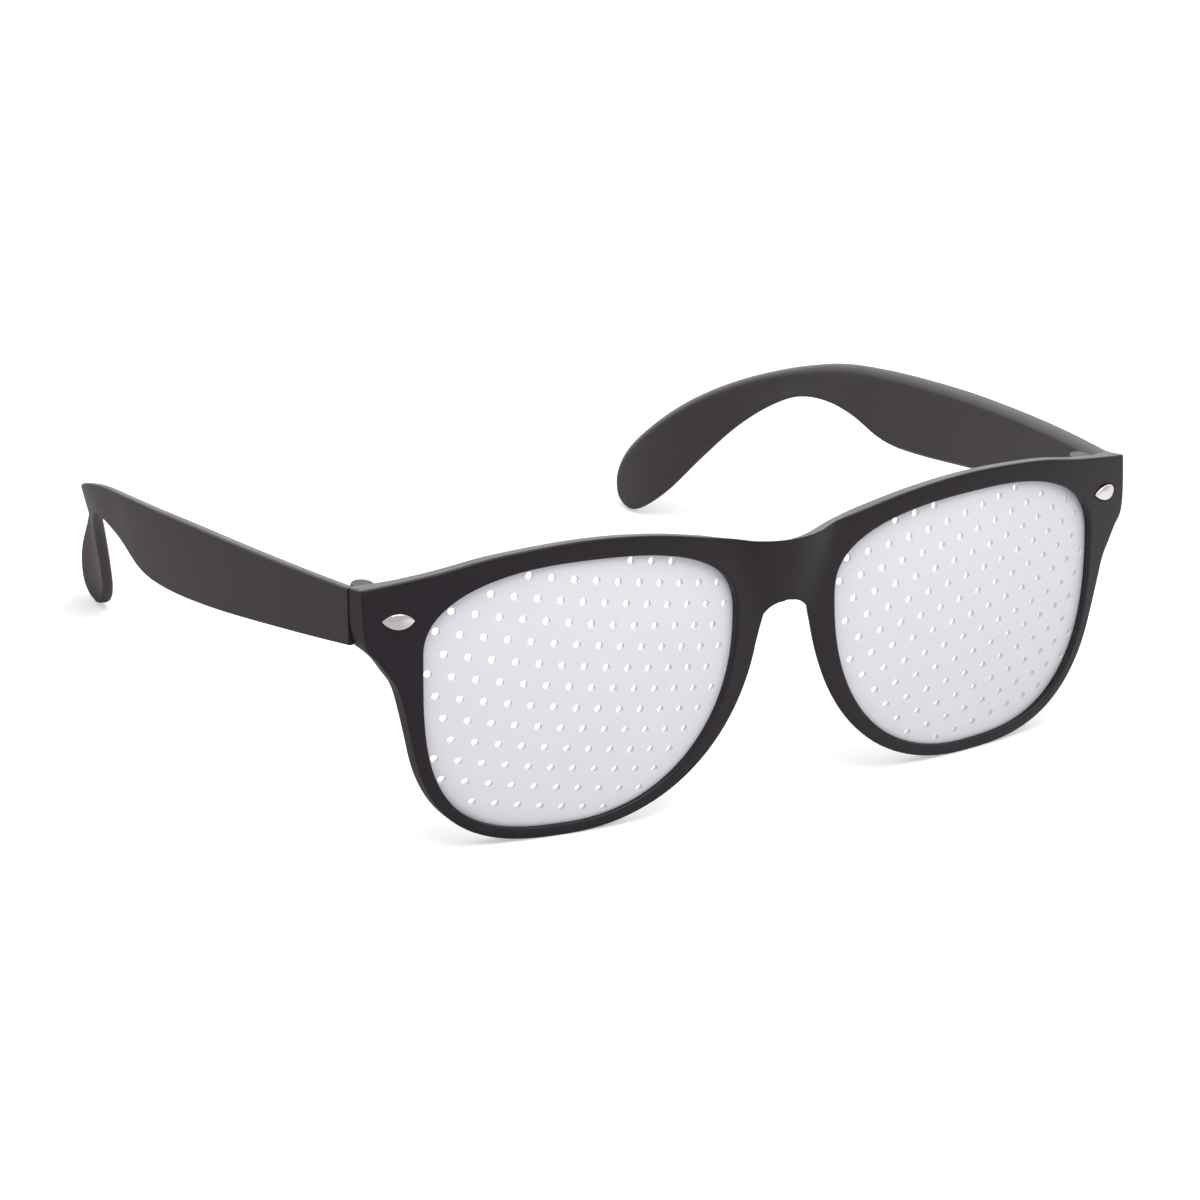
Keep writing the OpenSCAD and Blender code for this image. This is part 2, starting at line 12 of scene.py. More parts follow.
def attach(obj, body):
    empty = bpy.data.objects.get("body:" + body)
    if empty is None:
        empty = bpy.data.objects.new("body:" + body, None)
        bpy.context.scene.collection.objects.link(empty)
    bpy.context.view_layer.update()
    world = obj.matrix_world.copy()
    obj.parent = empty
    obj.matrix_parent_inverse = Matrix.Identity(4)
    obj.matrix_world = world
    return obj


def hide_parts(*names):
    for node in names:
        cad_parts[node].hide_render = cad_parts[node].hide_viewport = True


bl_info = {
    "name": "Party glasses",
    "version": (1, 0, 0),
    "blender": (4, 5, 0),
    "location": "View3D > Sidebar > Glasses",
    "description": "Builds perforated party glasses over their packed solids",
    "category": "Object",
}

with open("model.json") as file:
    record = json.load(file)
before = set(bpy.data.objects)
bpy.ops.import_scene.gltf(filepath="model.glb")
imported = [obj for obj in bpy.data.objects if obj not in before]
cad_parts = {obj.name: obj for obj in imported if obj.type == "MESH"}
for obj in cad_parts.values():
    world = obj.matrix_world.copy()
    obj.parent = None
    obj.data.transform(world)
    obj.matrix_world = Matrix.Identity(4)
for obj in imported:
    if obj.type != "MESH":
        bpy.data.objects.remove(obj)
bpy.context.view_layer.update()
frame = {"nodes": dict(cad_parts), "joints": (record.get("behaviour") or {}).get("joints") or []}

MM = 0.001

# Front: sizes in millimetres, in the front's own frame, with +Y to the rear
END_X = 72.5
END_TOP = 24.6
END_LOW = 14.8
END_BACK = 12.0
END_MID_Z = 19.7
END_LEAN = 6.0
END_BLOCK_W = 5.2
END_BLOCK_FOOT = 0.784
END_TOP_FALL = 0.17
BROW_H = 29.5
BRIDGE_TOP = 25.1
BRIDGE_FRONT = -1.35
BRIDGE_R = 17.0
BRIDGE_MID_Z = 20.0
BRIDGE_SLOPE = 2.6
ARCH_HALF_W = 4.0
ARCH_TOP = 14.4
ARCH_FOOT = 12.6
BROW_SLOPE = 13.0
BRIDGE_TOP_SLOPE = 27.0
NOSE_SLOPE = 28.0
SADDLE_Y = 16.6
SADDLE_R = 14.0
RIM_BOTTOM = 1.9
RIM_SIDE = 2.4
RIM_NOSE = 4.9
FACE_R = 150.0
REAR_R = 130.0
LENS_R = 100.0
SHEET_T = 0.8
GROOVE_D = 0.95
SHEET_GAP = 0.05
HOLE_EDGE_R = 0.12
CENTRE_STEPS = 9

# Marks for vertices whose edges stay sharp
GROOVE_MARK = 1
SEAM_MARK = 2

# Lens opening: four quarters of a superellipse
OPEN_MID = Vector((38.55, 13.9))
OPEN_SIDE = 24.9
OPEN_NOSE = 29.2
OPEN_UP = 12.4
OPEN_DOWN = 30.6
POWERS = {
    (True, True): 2.2,
    (False, True): 2.45,
    (False, False): 2.2,
    (True, False): 3.05,
}

# Centres of the balls that the lens sheet and the front's two faces lie on
LENS_BALL = Vector((27.8692, 97.8069, -0.2593))
FACE_BALL = Vector((23.6054, 147.543, -2.788))
REAR_BALL = Vector((25.1129, 129.9505, -1.8931))

# Hinge and rivet plate
HINGE_X = 68.5
HINGE_Y = 14.7
HINGE_LOW = 15.7
HINGE_MID = 18.85
BARREL_R = 1.8
BARREL_H = 2.2
HINGE_PITCH = 2.4
SEAM_GAP = 0.06
BARREL_ROOM = 0.3
BARREL_EDGE_R = 0.2
WEB_W = 2.7
WEB_SHIFT = 0.45
WEB_EDGE_R = 0.15
LEAF_W = 2.8
MITRE_LIP = 0.6
PLATE_X = 67.2
PLATE_Z = 19.65
PLATE_L = 5.3
PLATE_H = 2.5
PLATE_DOME = 0.7
PLATE_GAP = 0.25
RECESS_D = 0.4

# Rings of a plate's dome: share of its outline, and how far its edge is softened down
PLATE_RINGS = ((1, 0.14), (0.975, 0.04), (0.93, 0), (0.8, 0), (0.6, 0), (0.4, 0), (0.2, 0))

# Side arm: sizes, then its upper and lower edge in the flat pattern, as hundredths of
# the length along the arm, drop in the same measure, and height of the arm there
ARM_L = 121.2
ARM_TOP = 24.0
ARM_FRONT_H = 9.6
ARM_DEEP_H = 13.4
ARM_NECK_H = 7.4
ARM_PADDLE_W = 11.1
ARM_FRONT_T = 2.6
ARM_TIP_T = 1.9
ARM_EDGE_R = 0.8
ARM_ROUND_H = 1.4
ARM_UP = (
    (0.8, 0.4), (17, 2.1), (34, 4.2), (47, 6.2), (55, 7.6), (62.5, 9.2), (69, 11.4),
    (76, 14.4), (83, 18.1), (89.5, 22.5), (95, 27.4), (98.6, 31.7), (100, 35.3),
    (99.5, 38.3), (97.6, 40.1),
)
ARM_LOW = (
    (0, 0, ARM_FRONT_H), (16, 1.1, 0.9 * ARM_DEEP_H), (32, 3.3, ARM_DEEP_H),
    (44, 5.5, ARM_DEEP_H), (51.5, 6, ARM_DEEP_H), (58.5, 4.5, ARM_DEEP_H),
    (64.5, 9.1, ARM_NECK_H), (70, 10.1, ARM_NECK_H), (75, 13, ARM_NECK_H),
    (80, 14.3, ARM_PADDLE_W), (85, 20.1, ARM_PADDLE_W), (89.4, 25.8, ARM_PADDLE_W),
    (92.6, 29.1, ARM_PADDLE_W), (94.8, 30.6, ARM_PADDLE_W), (96.3, 30.9, ARM_PADDLE_W),
)

# Camera in the front's own frame, as it stands to the glasses in the photograph
CAMERA_PLACE = Vector((-478.05, -649.75, 346.66))
CAMERA_RIGHT = Vector((0.83957, -0.53911, 0.06693))
CAMERA_UP = Vector((0.15574, 0.35689, 0.92107))
CAMERA_LENS = 167.0
LAMP_PLACE = (-0.05, -0.30, 0.75)
LAMP_TARGET = (0.0, 0.0, 0.02)
LAMP_SIZE = 0.7

# Floor: its own tone, its tones in reflections from left to right, and its lift in view
FLOOR_SIZE = 6.0
FLOOR_TONE = (0.9, 0.9, 0.9, 1)
MIRRORED_LEFT = (0.52, 0.48, 0.52, 1)
MIRRORED_RIGHT = (0.90, 0.87, 0.90, 1)
MIRRORED_FROM_X = -0.07
MIRRORED_TO_X = 0.12
FLOOR_LIFT = 0.42

# Surround in reflections: brightness ahead and behind, and the direction of behind
GLOSS_AHEAD = 0.5
GLOSS_BEHIND = 2.1
BEHIND = (0.25, 0.85, 0.46)


def standing_matrix():
    """Matrix from the front's own frame in millimetres to the row frame in metres."""
    hinge = next(j for j in frame["joints"] if j["name"] == "left_hinge")
    tilt = math.atan2(-hinge["axis"][1], hinge["axis"][2])
    turn = Matrix.Rotation(tilt, 4, "X")
    foot = Vector(hinge["pos_m"]) - turn @ Vector((HINGE_X, HINGE_Y, HINGE_MID)) * MM
    return Matrix.Translation(foot) @ turn @ Matrix.Scale(MM, 4)


STAND = standing_matrix()


def on_side(side):
    """Matrix to the row frame from the left side, or its mirror image for side -1."""
    return STAND @ Matrix.Diagonal((side, 1, 1, 1))


def ball_y(centre, radius, x, z):
    """Y of the near side of a ball at a place in the front view."""
    return centre.y - math.sqrt(radius**2 - (x - centre.x) ** 2 - (z - centre.z) ** 2)


def soft_min(a, b, width):
    """The smaller of two values, with a fillet of about that width where they meet."""
    near = max(width - abs(a - b), 0.0) / width
    return min(a, b) - near * near * width / 4


def smooth_step(low, high, value):
    """0 below low, 1 above high and smooth between them."""
    t = min(max((value - low) / (high - low), 0.0), 1.0)
    return t * t * (3 - 2 * t)


def open_pt(angle):
    """Point of the lens opening's outline at an angle in degrees."""
    c, s = math.cos(math.radians(angle)), math.sin(math.radians(angle))
    power = POWERS[(c >= 0, s >= 0)]
    across = (OPEN_SIDE if c >= 0 else OPEN_NOSE) * math.copysign(abs(c) ** (2 / power), c)
    up = (OPEN_UP if s >= 0 else OPEN_DOWN) * math.copysign(abs(s) ** (2 / power), s)
    return OPEN_MID + Vector((across, up))


def open_out(angle, distance):
    """The same point moved outwards, square to the outline."""
    along = open_pt(angle + 0.5) - open_pt(angle - 0.5)
    return open_pt(angle) + distance * Vector((along.y, -along.x)).normalized()


def rim_pt(angle):
    """Outer edge of the rim beside a point of the opening."""
    foot = OPEN_MID.y - OPEN_DOWN
    height = open_pt(angle).y - foot
    if math.cos(math.radians(angle)) < 0:
        width = RIM_BOTTOM + (RIM_NOSE - RIM_BOTTOM) * height / (ARCH_FOOT - foot)
    else:
        width = RIM_BOTTOM + (RIM_SIDE - RIM_BOTTOM) * height / (END_LOW - foot)
    return open_out(angle, width)


def through_points(points, steps):
    """Smooth curve through points, with a number of steps between each two."""
    curve = []
    last = len(points) - 1
    for i in range(last):
        a, b = points[max(i - 1, 0)], points[i]
        c, d = points[i + 1], points[min(i + 2, last)]
        for k in range(steps):
            t = k / steps
            curve.append(
                0.5
                * (
                    2 * b
                    + (c - a) * t
                    + (2 * a - 5 * b + 4 * c - d) * t * t
                    + (3 * b - a - 3 * c + d) * t**3
                )
            )
    return curve + [points[last]]


def face_y(x, z):
    """Front face: the ball of the rim, and the rounded bridge with a fillet between."""
    rim = ball_y(FACE_BALL, FACE_R, x, z)
    if x >= BRIDGE_R - 1:
        return rim
    lean = (z - BRIDGE_MID_Z) * math.tan(math.radians(BRIDGE_SLOPE))
    bridge = BRIDGE_FRONT + BRIDGE_R - lean - math.sqrt(BRIDGE_R**2 - x * x)
    return soft_min(rim, bridge, bpy.context.scene.glasses_front.crease / MM)


def rear_y(x, z):
    """Rear face: the ball of the rim and the saddle behind the bridge."""
    rim = ball_y(REAR_BALL, REAR_R, x, z)
    if x >= SADDLE_R - 1:
        return rim
    return soft_min(rim, SADDLE_Y - math.sqrt(SADDLE_R**2 - x * x), 1.0)


def front_stations():
    """Stations round one lens: outer point, kind of wall there and angle on the opening."""
    brow = [
        Vector(p)
        for p in (
            (0, BRIDGE_TOP),
            (5, BRIDGE_TOP + 0.1),
            (OPEN_MID.x - 29, BROW_H - 3.8),
            (OPEN_MID.x - 15, BROW_H - 1.0),
            (OPEN_MID.x - 2, BROW_H),
            (OPEN_MID.x + 12, BROW_H - 0.9),
            (END_X - 11, END_TOP + 1.9),
            (END_X, END_TOP - 0.1),
        )
    ]
    flare = [
        Vector(p)
        for p in (
            (END_X, END_TOP - 0.1),
            (END_X - 0.1, END_LOW + 4.5),
            (END_X - 0.35, END_LOW + 1.7),
            (END_X - 0.9, END_LOW - 0.1),
            (END_X - 2.3, END_LOW - 1.6),
            (END_X - 3.8, END_LOW - 3.8),
            (END_X - 5.2, END_LOW - 6.0),
            (END_X - 6.2, END_LOW - 9.3),
            rim_pt(-22),
        )
    ]
    arch = [
        Vector(p)
        for p in (
            (ARCH_HALF_W, ARCH_FOOT),
            (ARCH_HALF_W * 0.75, ARCH_FOOT + 0.9),
            (ARCH_HALF_W * 0.5, ARCH_FOOT + 1.4),
            (ARCH_HALF_W * 0.25, ARCH_FOOT + 1.71),
            (0, ARCH_TOP),
        )
    ]
    nose_end = [rim_pt(-172), arch[0]]
    centre = []
    for k in range(1, CENTRE_STEPS):
        height = ARCH_TOP + (BRIDGE_TOP - ARCH_TOP) * k / CENTRE_STEPS
        centre.append(Vector((0, height)))
    found = []
    for kind, points in (
        ("brow", through_points(brow, 7)),
        ("side", through_points(flare, 4)[1:]),
        ("side", [rim_pt(a) for a in range(-25, -100, -3)]),
        ("nose", [rim_pt(a) for a in range(-100, -172, -3)]),
        ("nose", through_points(nose_end, 2)[:-1]),
        ("arch", through_points(arch, 2)),
        ("centre", centre),
    ):
        found += [(p, kind) for p in points]
    stations = []
    guess = 175.0
    for point, kind in found:
        guess = nearest_angle(point, guess)
        stations.append((point, kind, guess))
    return stations


def nearest_angle(point, start):
    """Angle of the opening's nearest point, searched clockwise from a start."""
    tries = [start + 3 - 0.25 * k for k in range(240)]
    return min(tries, key=lambda a: (open_pt(a) - point).length)


def rear_place(point, kind):
    """Where the outer wall meets the rear face, below or beside its front edge."""
    x, z = point
    front = face_y(x, z)
    for _ in range(4):
        depth = rear_y(x, z) - front
        if kind == "brow":
            slope = BRIDGE_TOP_SLOPE + (BROW_SLOPE - BRIDGE_TOP_SLOPE) * smooth_step(
                6, 15, point.x
            )
            z = point.y - depth * math.tan(math.radians(slope))
        elif kind in ("nose", "arch"):
            share = smooth_step(0, ARCH_HALF_W, point.x)
            share *= smooth_step(OPEN_MID.x - 4, OPEN_MID.x - 14, point.x)
            x = point.x + depth * math.tan(math.radians(NOSE_SLOPE)) * share
    return Vector((x, z))


def grow(bm, loop, places):
    """Extrudes a closed loop and puts each new vertex at its place."""
    edges = [bm.edges.get((loop[i], loop[i - 1])) for i in range(len(loop))]
    made = bmesh.ops.extrude_edge_only(bm, edges=edges)["geom"]
    new = {v for v in made if isinstance(v, bmesh.types.BMVert)}
    grown = []
    for vert, place in zip(loop, places):
        partner = next(
            e.other_vert(vert) for e in vert.link_edges if e.other_vert(vert) in new
        )
        partner.co = place
        grown.append(partner)
    return grown


def ring_shares(length, edge, rings):
    """Shares of a width at which the rings lie, with a narrow ring beside each edge."""
    edge = min(edge / length, 0.3)
    inner = [edge + (1 - 2 * edge) * k / (rings - 2) for k in range(rings - 1)]
    return [0.0] + inner + [1.0]


def grow_half_front(bm, rings):
    """One rim with its half of the bridge, as loops that run once round the wall."""
    crisp = bm.verts.layers.int.new("crisp")
    stations = front_stations()
    inner = [open_pt(a) for _, _, a in stations]
    outer = [p for p, _, _ in stations]
    rear = [rear_place(p, kind) for p, kind, _ in stations]
    for i, (_, kind, _) in enumerate(stations):
        if kind == "centre":
            rear[i] = Vector((0, outer[i].y))
    top, low = rear[0].y, rear[len(stations) - CENTRE_STEPS].y
    centres = [i for i, s in enumerate(stations) if s[1] == "centre"]
    for k, i in enumerate(centres, 1):
        rear[i] = Vector((0, low + (top - low) * k / CENTRE_STEPS))
    edge = bpy.context.scene.glasses_front.edge_radius / MM * 2
    front_shares = [ring_shares((o - i).length, edge, rings) for i, o in zip(inner, outer)]
    rear_shares = [ring_shares((o - i).length, edge, rings) for i, o in zip(inner, rear)]

    first = [bm.verts.new((p.x, face_y(p.x, p.y), p.y)) for p in inner]
    for i in range(len(first)):
        bm.edges.new((first[i], first[i - 1]))
    loop = first
    for k in range(1, rings + 1):
        flat = [i.lerp(o, s[k]) for i, o, s in zip(inner, outer, front_shares)]
        loop = grow(bm, loop, [(p.x, face_y(p.x, p.y), p.y) for p in flat])
    for k in range(rings, -1, -1):
        flat = [i.lerp(o, s[k]) for i, o, s in zip(inner, rear, rear_shares)]
        loop = grow(bm, loop, [(p.x, rear_y(p.x, p.y), p.y) for p in flat])

    back, front = LENS_R - SHEET_T - SHEET_GAP, LENS_R + SHEET_GAP
    angles = [a for _, _, a in stations]
    for radius, out in ((back, 0), (back, GROOVE_D), (front, GROOVE_D), (front, 0)):
        flat = [open_out(a, out) for a in angles]
        loop = grow(
            bm, loop, [(p.x, ball_y(LENS_BALL, radius, p.x, p.y), p.y) for p in flat]
        )
        for vert in loop:
            vert[crisp] = GROOVE_MARK
    bmesh.ops.bridge_loops(bm, edges=loop_edges(bm, loop) + loop_edges(bm, first))


def loop_edges(bm, loop):
    """Edges of a closed loop of vertices."""
    return [bm.edges.get((loop[i], loop[i - 1])) for i in range(len(loop))]


def extrude_end_block(bm):
    """Thick block behind the end piece, raised from the rear face to the hinge side."""
    inner_x, low_z = END_X - END_BLOCK_W, END_LOW - END_BLOCK_FOOT

    def on_rear(face):
        c = face.calc_center_median()
        return (
            c.x > inner_x - 6
            and c.z > low_z - 4
            and abs(c.y - rear_y(c.x, c.z)) < 0.4
            and abs(face.normal.y) > 0.7
        )

    for place, normal in (((inner_x, 0, 0), (1, 0, 0)), ((0, 0, low_z), (0, 0, 1))):
        faces = [f for f in bm.faces if on_rear(f)]
        edges = {e for f in faces for e in f.edges}
        verts = {v for f in faces for v in f.verts}
        bmesh.ops.bisect_plane(
            bm,
            geom=list(verts) + list(edges) + faces,
            plane_co=place,
            plane_no=normal,
            dist=0.02,
        )
    bm.normal_update()
    block = []
    for face in bm.faces:
        centre = face.calc_center_median()
        if on_rear(face) and centre.x > inner_x and centre.z > low_z:
            block.append(face)
    made = bmesh.ops.extrude_face_region(bm, geom=block)["geom"]
    bmesh.ops.delete(bm, geom=[f for f in block if f.is_valid], context="FACES")
    fall = math.tan(math.radians(BROW_SLOPE))
    lean = math.tan(math.radians(END_LEAN))
    crisp = bm.verts.layers.int.get("crisp")
    for vert in made:
        if isinstance(vert, bmesh.types.BMVert):
            vert[crisp] = SEAM_MARK
            # the block's top is flat from side to side, and the brow line falls outwards
            drop = (END_BACK - vert.co.y) * fall + (END_X - vert.co.x) * END_TOP_FALL
            vert.co.z -= drop * smooth_step(low_z + 3, END_TOP - 2, vert.co.z)
            vert.co.y = END_BACK + (vert.co.z - END_MID_Z) * lean


def soften_edges(bm, radius, least_angle, segments=3):
    """Rounds the sharp edges, apart from the lens groove's and the hinge seams'."""
    crisp = bm.verts.layers.int.get("crisp")
    bm.normal_update()
    sharp = []
    for edge in bm.edges:
        if len(edge.link_faces) != 2 or edge.calc_face_angle(0) < least_angle:
            continue
        marks = [v[crisp] for v in edge.verts] if crisp else [0]
        if GROOVE_MARK in marks or min(marks) == SEAM_MARK:
            continue
        sharp.append(edge)
    bmesh.ops.bevel(
        bm,
        geom=sharp,
        offset=radius,
        offset_type="OFFSET",
        segments=segments,
        profile=0.5,
        affect="EDGES",
        clamp_overlap=False,
        material=-1,
    )


def add_barrels(piece, storeys, side):
    """Adds hinge barrels with the web that joins each to its piece."""
    bm = bmesh.new()
    bm.from_mesh(piece.data)
    for storey in storeys:
        z = HINGE_LOW + storey * HINGE_PITCH + BARREL_H / 2
        barrel = bmesh.new()
        cylinder(barrel, BARREL_R, z - BARREL_H / 2, z + BARREL_H / 2, 40)
        soften_edges(barrel, BARREL_EDGE_R, math.radians(60), 2)
        web = bmesh.new()
        depth = HINGE_Y - END_BACK + 1
        bmesh.ops.create_cube(
            web,
            size=1,
            matrix=Matrix.Translation((HINGE_X - WEB_SHIFT, HINGE_Y - depth / 2, z))
            @ Matrix.Diagonal((WEB_W, depth, BARREL_H - 0.02, 1)),
        )
        soften_edges(web, WEB_EDGE_R, math.radians(60), 2)
        for extra in (barrel, web):
            extra.transform(on_side(side))
            bmesh.ops.recalc_face_normals(extra, faces=extra.faces)
            append(bm, extra)
    bm.to_mesh(piece.data)
    bm.free()


def append(bm, extra):
    """Adds one bmesh to another and frees it."""
    mesh = bpy.data.meshes.new("part")
    extra.to_mesh(mesh)
    extra.free()
    bm.from_mesh(mesh)
    bpy.data.meshes.remove(mesh)


def plate_matrix():
    """Place of a rivet plate on the curved face of the left end piece."""
    y = ball_y(FACE_BALL, FACE_R, PLATE_X, PLATE_Z)
    out = (Vector((PLATE_X, y, PLATE_Z)) - FACE_BALL) / FACE_R
    wrap, tilt = math.atan2(out.x, -out.y), math.asin(out.z)
    return (
        Matrix.Translation((PLATE_X, y, PLATE_Z))
        @ Matrix.Rotation(wrap, 4, "Z")
        @ Matrix.Rotation(math.pi / 2 - tilt, 4, "X")
    )


def pointed_oval(bm, grow_by, height):
    """Loop of a pointed oval, made by moving the vertices of a circle."""
    circle = bmesh.ops.create_circle(bm, cap_ends=True, radius=1, segments=56)["verts"]
    arc_r = (PLATE_L**2 + PLATE_H**2) / (4 * PLATE_H)
    rise = arc_r - PLATE_H / 2
    reach = math.sqrt((arc_r + grow_by) ** 2 - rise**2)
    for vert in circle:
        side = math.copysign(1, vert.co.y)
        x = vert.co.x * reach
        y = math.sqrt(max((arc_r + grow_by) ** 2 - x * x, rise**2)) - rise
        vert.co = (x, side * y if abs(vert.co.y) > 1e-4 else 0.0, height)
    return circle


def cut(piece, cutter):
    """Takes the cutter's solid out of a piece and removes the cutter."""
    hollow = piece.modifiers.new("cut", "BOOLEAN")
    hollow.operation = "DIFFERENCE"
    hollow.solver = "EXACT"
    hollow.object = cutter
    graph = bpy.context.evaluated_depsgraph_get()
    mesh = bpy.data.meshes.new_from_object(piece.evaluated_get(graph))
    if not mesh.polygons:
        raise RuntimeError("the cut left nothing of " + piece.name)
    piece.modifiers.clear()
    old, piece.data = piece.data, mesh
    bpy.data.meshes.remove(old)
    bpy.data.objects.remove(cutter)


def new_piece(name, bm, body, replaced, material):
    """Turns a bmesh in the row frame into a finished piece on its body."""
    if not bm.faces:
        raise RuntimeError(name + " has no faces")
    mesh = bpy.data.meshes.new(name)
    bm.to_mesh(mesh)
    bm.free()
    piece = bpy.data.objects.new(name, mesh)
    bpy.context.scene.collection.objects.link(piece)
    piece.data.materials.append(material)
    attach(piece, body)
    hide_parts(*replaced)
    return piece


def smooth(piece, angle=35.0):
    """Smooth shading up to an angle, with large faces kept even."""
    piece.data.shade_smooth()
    piece.data.set_sharp_from_angle(angle=math.radians(angle))
    even = piece.modifiers.new("even", "WEIGHTED_NORMAL")
    even.keep_sharp = True
    even.weight = 80


def merged_copy(node):
    """A bmesh copy of a CAD node's mesh with its loose triangles merged."""
    bm = bmesh.new()
    bm.from_mesh(frame["nodes"][node].data)
    bmesh.ops.remove_doubles(bm, verts=bm.verts, dist=1e-6)
    return bm


# Materials


def fine_grain_group():
    """Shared group: mask of slow patches and height of a fine moulding grain."""
    name = "Moulding grain"
    if name in bpy.data.node_groups:
        return bpy.data.node_groups[name]
    group = bpy.data.node_groups.new(name, "ShaderNodeTree")
    face = group.interface
    size = face.new_socket("Grain size", in_out="INPUT", socket_type="NodeSocketFloat")
    size.default_value = 2600.0
    patch = face.new_socket("Patch size", in_out="INPUT", socket_type="NodeSocketFloat")
    patch.default_value = 90.0
    face.new_socket("Patches", in_out="OUTPUT", socket_type="NodeSocketFloat")
    face.new_socket("Grain", in_out="OUTPUT", socket_type="NodeSocketFloat")
    nodes, links = group.nodes, group.links
    entry = nodes.new("NodeGroupInput")
    leave = nodes.new("NodeGroupOutput")
    where = nodes.new("ShaderNodeTexCoord")
    grain = nodes.new("ShaderNodeTexNoise")
    grain.inputs["Detail"].default_value = 3.0
    patches = nodes.new("ShaderNodeTexNoise")
    patches.inputs["Detail"].default_value = 4.0
    links.new(where.outputs["Object"], grain.inputs["Vector"])
    links.new(where.outputs["Object"], patches.inputs["Vector"])
    links.new(entry.outputs["Grain size"], grain.inputs["Scale"])
    links.new(entry.outputs["Patch size"], patches.inputs["Scale"])
    links.new(patches.outputs["Fac"], leave.inputs["Patches"])
    links.new(grain.outputs["Fac"], leave.inputs["Grain"])
    return group


def blank_material(name):
    """A new material with its Principled shader, and short names for its tree."""
    material = bpy.data.materials.new(name)
    material.use_nodes = True
    tree = material.node_tree
    return material, tree.nodes, tree.links, tree.nodes["Principled BSDF"]


def moulded_plastic(name, dark, light, rough, grain_size, bump, specular=0.5):
    """Moulded plastic: slow changes of tone and gloss over a fine grain."""
    material, nodes, links, shader = blank_material(name)
    grain = nodes.new("ShaderNodeGroup")
    grain.node_tree = fine_grain_group()
    grain.inputs["Grain size"].default_value = grain_size
    grain.inputs["Patch size"].default_value = 90.0
    tone = nodes.new("ShaderNodeMix")
    tone.data_type = "RGBA"
    tone.inputs["A"].default_value = (*dark, 1)
    tone.inputs["B"].default_value = (*light, 1)
    links.new(grain.outputs["Patches"], tone.inputs["Factor"])
    links.new(tone.outputs["Result"], shader.inputs["Base Color"])
    gloss = nodes.new("ShaderNodeMapRange")
    gloss.inputs["From Min"].default_value = 0.3
    gloss.inputs["From Max"].default_value = 0.7
    gloss.inputs["To Min"].default_value = rough[0]
    gloss.inputs["To Max"].default_value = rough[1]
    links.new(grain.outputs["Patches"], gloss.inputs["Value"])
    links.new(gloss.outputs["Result"], shader.inputs["Roughness"])
    relief = nodes.new("ShaderNodeBump")
    relief.inputs["Strength"].default_value = bump
    relief.inputs["Distance"].default_value = 0.00002
    links.new(grain.outputs["Grain"], relief.inputs["Height"])
    links.new(relief.outputs["Normal"], shader.inputs["Normal"])
    shader.inputs["Specular IOR Level"].default_value = specular
    return material


def bright_metal(name, colour, rough):
    """Polished or drawn metal with faint fine marks."""
    material, nodes, links, shader = blank_material(name)
    grain = nodes.new("ShaderNodeGroup")
    grain.node_tree = fine_grain_group()
    grain.inputs["Grain size"].default_value = 1800.0
    grain.inputs["Patch size"].default_value = 300.0
    tone = nodes.new("ShaderNodeMix")
    tone.data_type = "RGBA"
    tone.inputs["A"].default_value = (*[0.92 * c for c in colour], 1)
    tone.inputs["B"].default_value = (*colour, 1)
    links.new(grain.outputs["Patches"], tone.inputs["Factor"])
    links.new(tone.outputs["Result"], shader.inputs["Base Color"])
    gloss = nodes.new("ShaderNodeMapRange")
    gloss.inputs["To Min"].default_value = rough[0]
    gloss.inputs["To Max"].default_value = rough[1]
    links.new(grain.outputs["Grain"], gloss.inputs["Value"])
    links.new(gloss.outputs["Result"], shader.inputs["Roughness"])
    shader.inputs["Metallic"].default_value = 1.0
    return material


class GlassesFrontSettings(bpy.types.PropertyGroup):
    """Sizes and colours of the moulded front."""

    edge_radius: FloatProperty(
        name="Edge radius",
        description="Radius of the front's rounded edges",
        default=0.35 * MM,
        min=0.1 * MM,
        max=0.6 * MM,
        precision=5,
        subtype="DISTANCE",
    )
    crease: FloatProperty(
        name="Crease width",
        description="Depth of the fillet between bridge and rim",
        default=1.1 * MM,
        min=0.2 * MM,
        max=2.0 * MM,
        precision=5,
        subtype="DISTANCE",
    )
    rings: IntProperty(
        name="Rings",
        description="Rings of faces between a lens opening and the outer edge",
        default=13,
        min=6,
        max=24,
    )
    dark: FloatVectorProperty(
        name="Dark tone",
        description="Darker tone of the front's plastic",
        subtype="COLOR",
        min=0.0,
        max=1.0,
        default=(0.0095, 0.0058, 0.0102),
    )
    light: FloatVectorProperty(
        name="Light tone",
        description="Lighter tone of the front's plastic",
        subtype="COLOR",
        min=0.0,
        max=1.0,
        default=(0.0135, 0.009, 0.0142),
    )


